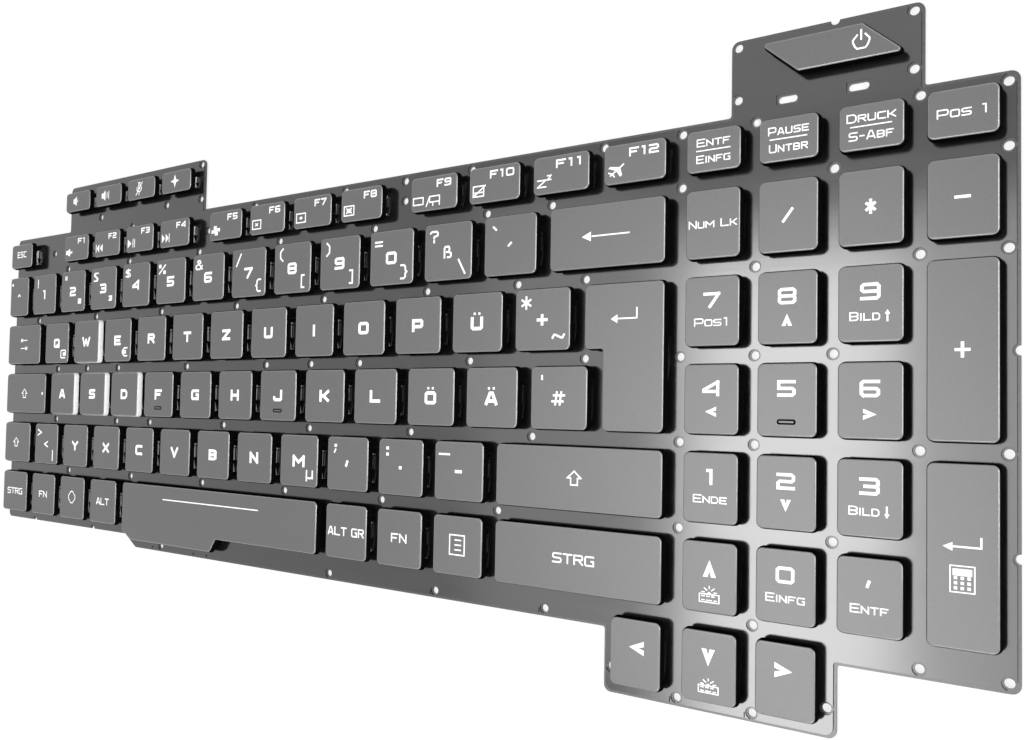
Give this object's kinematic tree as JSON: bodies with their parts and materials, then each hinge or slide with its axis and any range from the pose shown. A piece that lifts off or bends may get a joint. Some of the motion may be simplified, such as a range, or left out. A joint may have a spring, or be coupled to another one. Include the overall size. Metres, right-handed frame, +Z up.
{
  "type": "laptop keyboard unit",
  "caption": "Flat laptop keyboard unit with low keycaps on rubber domes, full number pad, arrow keys, hot keys and a slanted power button on a holed support plate.",
  "frame": {"origin": "centre of the bounding box on the underside, where the light panel rests on the floor", "axes": "+X along the key rows to the number pad, +Y from the space bar to the function row, +Z up out of the key tops"},
  "size_m": [0.3434, 0.142, 0.0049],
  "materials": {
    "cap": "satin",
    "clear_cap": "satin",
    "film": "satin",
    "plate": "matte",
    "panel": "matte",
    "dome": "matte",
    "link": "satin"
  },
  "bodies": {
    "base": {"backlight_panel": "panel", "support_plate": "plate", "switch_film": "film", "rubber_domes": "dome", "function_keys": "cap", "number_row_keys": "cap", "letter_keys": "cap", "modifier_keys": "cap"},
    "a_key_body": {"a_key": "clear_cap"},
    "arrow_down_key_body": {"arrow_down_key": "cap"},
    "arrow_left_key_body": {"arrow_left_key": "cap"},
    "arrow_right_key_body": {"arrow_right_key": "cap"},
    "arrow_up_key_body": {"arrow_up_key": "cap"},
    "backspace_key_body": {"backspace_key": "cap"},
    "caps_lock_key_body": {"caps_lock_key": "cap"},
    "d_key_body": {"d_key": "clear_cap"},
    "delete_key_body": {"delete_key": "cap"},
    "divide_key_body": {"divide_key": "cap"},
    "enter_key_body": {"enter_key": "cap"},
    "escape_key_body": {"escape_key": "cap"},
    "home_key_body": {"home_key": "cap"},
    "launch_key_body": {"launch_key": "cap"},
    "left_shift_key_body": {"left_shift_key": "cap"},
    "mic_mute_key_body": {"mic_mute_key": "cap"},
    "minus_key_body": {"minus_key": "cap"},
    "multiply_key_body": {"multiply_key": "cap"},
    "num_lock_key_body": {"num_lock_key": "cap"},
    "pad_0_key_body": {"pad_0_key": "cap"},
    "pad_1_key_body": {"pad_1_key": "cap"},
    "pad_2_key_body": {"pad_2_key": "cap"},
    "pad_3_key_body": {"pad_3_key": "cap"},
    "pad_4_key_body": {"pad_4_key": "cap"},
    "pad_5_key_body": {"pad_5_key": "cap"},
    "pad_6_key_body": {"pad_6_key": "cap"},
    "pad_7_key_body": {"pad_7_key": "cap"},
    "pad_8_key_body": {"pad_8_key": "cap"},
    "pad_9_key_body": {"pad_9_key": "cap"},
    "pad_comma_key_body": {"pad_comma_key": "cap"},
    "pad_enter_key_body": {"pad_enter_key": "cap"},
    "pad_plus_key_body": {"pad_plus_key": "cap"},
    "pause_key_body": {"pause_key": "cap"},
    "print_key_body": {"print_key": "cap"},
    "right_control_key_body": {"right_control_key": "cap"},
    "right_shift_key_body": {"right_shift_key": "cap"},
    "s_key_body": {"s_key": "clear_cap"},
    "tab_key_body": {"tab_key": "cap"},
    "volume_down_key_body": {"volume_down_key": "cap"},
    "volume_up_key_body": {"volume_up_key": "cap"},
    "w_key_body": {"w_key": "clear_cap"},
    "space_bar_body": {"space_bar": "cap"},
    "power_button_body": {"power_button": "cap"},
    "w_outer_link_body": {"w_outer_link": "link"},
    "w_inner_link_body": {"w_inner_link": "link"},
    "a_outer_link_body": {"a_outer_link": "link"},
    "a_inner_link_body": {"a_inner_link": "link"},
    "s_outer_link_body": {"s_outer_link": "link"},
    "s_inner_link_body": {"s_inner_link": "link"},
    "d_outer_link_body": {"d_outer_link": "link"},
    "d_inner_link_body": {"d_inner_link": "link"}
  },
  "joints": [
    {"name": "a_key_press", "type": "slide", "parent": "base", "child": "a_key_body", "axis": [0, 0, -1], "range_m": [0, 0.0018], "stiffness_N_per_m": 250, "deforming": ["rubber_domes"]},
    {"name": "arrow_down_key_press", "type": "slide", "parent": "base", "child": "arrow_down_key_body", "axis": [0, 0, -1], "range_m": [0, 0.0018], "stiffness_N_per_m": 250, "deforming": ["rubber_domes"]},
    {"name": "arrow_left_key_press", "type": "slide", "parent": "base", "child": "arrow_left_key_body", "axis": [0, 0, -1], "range_m": [0, 0.0018], "stiffness_N_per_m": 250, "deforming": ["rubber_domes"]},
    {"name": "arrow_right_key_press", "type": "slide", "parent": "base", "child": "arrow_right_key_body", "axis": [0, 0, -1], "range_m": [0, 0.0018], "stiffness_N_per_m": 250, "deforming": ["rubber_domes"]},
    {"name": "arrow_up_key_press", "type": "slide", "parent": "base", "child": "arrow_up_key_body", "axis": [0, 0, -1], "range_m": [0, 0.0018], "stiffness_N_per_m": 250, "deforming": ["rubber_domes"]},
    {"name": "backspace_key_press", "type": "slide", "parent": "base", "child": "backspace_key_body", "axis": [0, 0, -1], "range_m": [0, 0.0018], "stiffness_N_per_m": 250, "deforming": ["rubber_domes"]},
    {"name": "caps_lock_key_press", "type": "slide", "parent": "base", "child": "caps_lock_key_body", "axis": [0, 0, -1], "range_m": [0, 0.0018], "stiffness_N_per_m": 250, "deforming": ["rubber_domes"]},
    {"name": "d_key_press", "type": "slide", "parent": "base", "child": "d_key_body", "axis": [0, 0, -1], "range_m": [0, 0.0018], "stiffness_N_per_m": 250, "deforming": ["rubber_domes"]},
    {"name": "delete_key_press", "type": "slide", "parent": "base", "child": "delete_key_body", "axis": [0, 0, -1], "range_m": [0, 0.0018], "stiffness_N_per_m": 250, "deforming": ["rubber_domes"]},
    {"name": "divide_key_press", "type": "slide", "parent": "base", "child": "divide_key_body", "axis": [0, 0, -1], "range_m": [0, 0.0018], "stiffness_N_per_m": 250, "deforming": ["rubber_domes"]},
    {"name": "enter_key_press", "type": "slide", "parent": "base", "child": "enter_key_body", "axis": [0, 0, -1], "range_m": [0, 0.0018], "stiffness_N_per_m": 250, "deforming": ["rubber_domes"]},
    {"name": "escape_key_press", "type": "slide", "parent": "base", "child": "escape_key_body", "axis": [0, 0, -1], "range_m": [0, 0.0018], "stiffness_N_per_m": 250, "deforming": ["rubber_domes"]},
    {"name": "home_key_press", "type": "slide", "parent": "base", "child": "home_key_body", "axis": [0, 0, -1], "range_m": [0, 0.0018], "stiffness_N_per_m": 250, "deforming": ["rubber_domes"]},
    {"name": "launch_key_press", "type": "slide", "parent": "base", "child": "launch_key_body", "axis": [0, 0, -1], "range_m": [0, 0.0018], "stiffness_N_per_m": 250, "deforming": ["rubber_domes"]},
    {"name": "left_shift_key_press", "type": "slide", "parent": "base", "child": "left_shift_key_body", "axis": [0, 0, -1], "range_m": [0, 0.0018], "stiffness_N_per_m": 250, "deforming": ["rubber_domes"]},
    {"name": "mic_mute_key_press", "type": "slide", "parent": "base", "child": "mic_mute_key_body", "axis": [0, 0, -1], "range_m": [0, 0.0018], "stiffness_N_per_m": 250, "deforming": ["rubber_domes"]},
    {"name": "minus_key_press", "type": "slide", "parent": "base", "child": "minus_key_body", "axis": [0, 0, -1], "range_m": [0, 0.0018], "stiffness_N_per_m": 250, "deforming": ["rubber_domes"]},
    {"name": "multiply_key_press", "type": "slide", "parent": "base", "child": "multiply_key_body", "axis": [0, 0, -1], "range_m": [0, 0.0018], "stiffness_N_per_m": 250, "deforming": ["rubber_domes"]},
    {"name": "num_lock_key_press", "type": "slide", "parent": "base", "child": "num_lock_key_body", "axis": [0, 0, -1], "range_m": [0, 0.0018], "stiffness_N_per_m": 250, "deforming": ["rubber_domes"]},
    {"name": "pad_0_key_press", "type": "slide", "parent": "base", "child": "pad_0_key_body", "axis": [0, 0, -1], "range_m": [0, 0.0018], "stiffness_N_per_m": 250, "deforming": ["rubber_domes"]},
    {"name": "pad_1_key_press", "type": "slide", "parent": "base", "child": "pad_1_key_body", "axis": [0, 0, -1], "range_m": [0, 0.0018], "stiffness_N_per_m": 250, "deforming": ["rubber_domes"]},
    {"name": "pad_2_key_press", "type": "slide", "parent": "base", "child": "pad_2_key_body", "axis": [0, 0, -1], "range_m": [0, 0.0018], "stiffness_N_per_m": 250, "deforming": ["rubber_domes"]},
    {"name": "pad_3_key_press", "type": "slide", "parent": "base", "child": "pad_3_key_body", "axis": [0, 0, -1], "range_m": [0, 0.0018], "stiffness_N_per_m": 250, "deforming": ["rubber_domes"]},
    {"name": "pad_4_key_press", "type": "slide", "parent": "base", "child": "pad_4_key_body", "axis": [0, 0, -1], "range_m": [0, 0.0018], "stiffness_N_per_m": 250, "deforming": ["rubber_domes"]},
    {"name": "pad_5_key_press", "type": "slide", "parent": "base", "child": "pad_5_key_body", "axis": [0, 0, -1], "range_m": [0, 0.0018], "stiffness_N_per_m": 250, "deforming": ["rubber_domes"]},
    {"name": "pad_6_key_press", "type": "slide", "parent": "base", "child": "pad_6_key_body", "axis": [0, 0, -1], "range_m": [0, 0.0018], "stiffness_N_per_m": 250, "deforming": ["rubber_domes"]},
    {"name": "pad_7_key_press", "type": "slide", "parent": "base", "child": "pad_7_key_body", "axis": [0, 0, -1], "range_m": [0, 0.0018], "stiffness_N_per_m": 250, "deforming": ["rubber_domes"]},
    {"name": "pad_8_key_press", "type": "slide", "parent": "base", "child": "pad_8_key_body", "axis": [0, 0, -1], "range_m": [0, 0.0018], "stiffness_N_per_m": 250, "deforming": ["rubber_domes"]},
    {"name": "pad_9_key_press", "type": "slide", "parent": "base", "child": "pad_9_key_body", "axis": [0, 0, -1], "range_m": [0, 0.0018], "stiffness_N_per_m": 250, "deforming": ["rubber_domes"]},
    {"name": "pad_comma_key_press", "type": "slide", "parent": "base", "child": "pad_comma_key_body", "axis": [0, 0, -1], "range_m": [0, 0.0018], "stiffness_N_per_m": 250, "deforming": ["rubber_domes"]},
    {"name": "pad_enter_key_press", "type": "slide", "parent": "base", "child": "pad_enter_key_body", "axis": [0, 0, -1], "range_m": [0, 0.0018], "stiffness_N_per_m": 250, "deforming": ["rubber_domes"]},
    {"name": "pad_plus_key_press", "type": "slide", "parent": "base", "child": "pad_plus_key_body", "axis": [0, 0, -1], "range_m": [0, 0.0018], "stiffness_N_per_m": 250, "deforming": ["rubber_domes"]},
    {"name": "pause_key_press", "type": "slide", "parent": "base", "child": "pause_key_body", "axis": [0, 0, -1], "range_m": [0, 0.0018], "stiffness_N_per_m": 250, "deforming": ["rubber_domes"]},
    {"name": "print_key_press", "type": "slide", "parent": "base", "child": "print_key_body", "axis": [0, 0, -1], "range_m": [0, 0.0018], "stiffness_N_per_m": 250, "deforming": ["rubber_domes"]},
    {"name": "right_control_key_press", "type": "slide", "parent": "base", "child": "right_control_key_body", "axis": [0, 0, -1], "range_m": [0, 0.0018], "stiffness_N_per_m": 250, "deforming": ["rubber_domes"]},
    {"name": "right_shift_key_press", "type": "slide", "parent": "base", "child": "right_shift_key_body", "axis": [0, 0, -1], "range_m": [0, 0.0018], "stiffness_N_per_m": 250, "deforming": ["rubber_domes"]},
    {"name": "s_key_press", "type": "slide", "parent": "base", "child": "s_key_body", "axis": [0, 0, -1], "range_m": [0, 0.0018], "stiffness_N_per_m": 250, "deforming": ["rubber_domes"]},
    {"name": "tab_key_press", "type": "slide", "parent": "base", "child": "tab_key_body", "axis": [0, 0, -1], "range_m": [0, 0.0018], "stiffness_N_per_m": 250, "deforming": ["rubber_domes"]},
    {"name": "volume_down_key_press", "type": "slide", "parent": "base", "child": "volume_down_key_body", "axis": [0, 0, -1], "range_m": [0, 0.0018], "stiffness_N_per_m": 250, "deforming": ["rubber_domes"]},
    {"name": "volume_up_key_press", "type": "slide", "parent": "base", "child": "volume_up_key_body", "axis": [0, 0, -1], "range_m": [0, 0.0018], "stiffness_N_per_m": 250, "deforming": ["rubber_domes"]},
    {"name": "w_key_press", "type": "slide", "parent": "base", "child": "w_key_body", "axis": [0, 0, -1], "range_m": [0, 0.0018], "stiffness_N_per_m": 250, "deforming": ["rubber_domes"]},
    {"name": "space_bar_press", "type": "slide", "parent": "base", "child": "space_bar_body", "axis": [0, 0, -1], "range_m": [0, 0.0018], "stiffness_N_per_m": 250, "deforming": ["rubber_domes"]},
    {"name": "power_button_press", "type": "slide", "parent": "base", "child": "power_button_body", "axis": [0, 0, -1], "range_m": [0, 0.0018], "stiffness_N_per_m": 250, "deforming": ["rubber_domes"]},
    {"name": "w_outer_link_pivot", "type": "hinge", "parent": "base", "child": "w_outer_link_body", "pos_m": [-0.11672, 0.00873, 0.00175], "axis": [-1, 0, 0], "range_deg": [0, 10.96]},
    {"name": "w_inner_link_pivot", "type": "hinge", "parent": "w_key_body", "child": "w_inner_link_body", "pos_m": [-0.11672, 0.01055, 0.00375], "axis": [1, 0, 0], "range_deg": [0, 17.57]},
    {"name": "a_outer_link_pivot", "type": "hinge", "parent": "base", "child": "a_outer_link_body", "pos_m": [-0.13101, -0.00977, 0.00175], "axis": [-1, 0, 0], "range_deg": [0, 10.96]},
    {"name": "a_inner_link_pivot", "type": "hinge", "parent": "a_key_body", "child": "a_inner_link_body", "pos_m": [-0.13101, -0.00795, 0.00375], "axis": [1, 0, 0], "range_deg": [0, 17.57]},
    {"name": "s_outer_link_pivot", "type": "hinge", "parent": "base", "child": "s_outer_link_body", "pos_m": [-0.11196, -0.00977, 0.00175], "axis": [-1, 0, 0], "range_deg": [0, 10.96]},
    {"name": "s_inner_link_pivot", "type": "hinge", "parent": "s_key_body", "child": "s_inner_link_body", "pos_m": [-0.11196, -0.00795, 0.00375], "axis": [1, 0, 0], "range_deg": [0, 17.57]},
    {"name": "d_outer_link_pivot", "type": "hinge", "parent": "base", "child": "d_outer_link_body", "pos_m": [-0.09291, -0.00977, 0.00175], "axis": [-1, 0, 0], "range_deg": [0, 10.96]},
    {"name": "d_inner_link_pivot", "type": "hinge", "parent": "d_key_body", "child": "d_inner_link_body", "pos_m": [-0.09291, -0.00795, 0.00375], "axis": [1, 0, 0], "range_deg": [0, 17.57]}
  ],
  "couplings": [
    {"joint": "w_outer_link_pivot", "follows": "w_key_press", "rad_per_m": 106.14},
    {"joint": "w_inner_link_pivot", "follows": "w_key_press", "rad_per_m": 170.28},
    {"joint": "a_outer_link_pivot", "follows": "a_key_press", "rad_per_m": 106.14},
    {"joint": "a_inner_link_pivot", "follows": "a_key_press", "rad_per_m": 170.28},
    {"joint": "s_outer_link_pivot", "follows": "s_key_press", "rad_per_m": 106.14},
    {"joint": "s_inner_link_pivot", "follows": "s_key_press", "rad_per_m": 170.28},
    {"joint": "d_outer_link_pivot", "follows": "d_key_press", "rad_per_m": 106.14},
    {"joint": "d_inner_link_pivot", "follows": "d_key_press", "rad_per_m": 170.28}
  ]
}
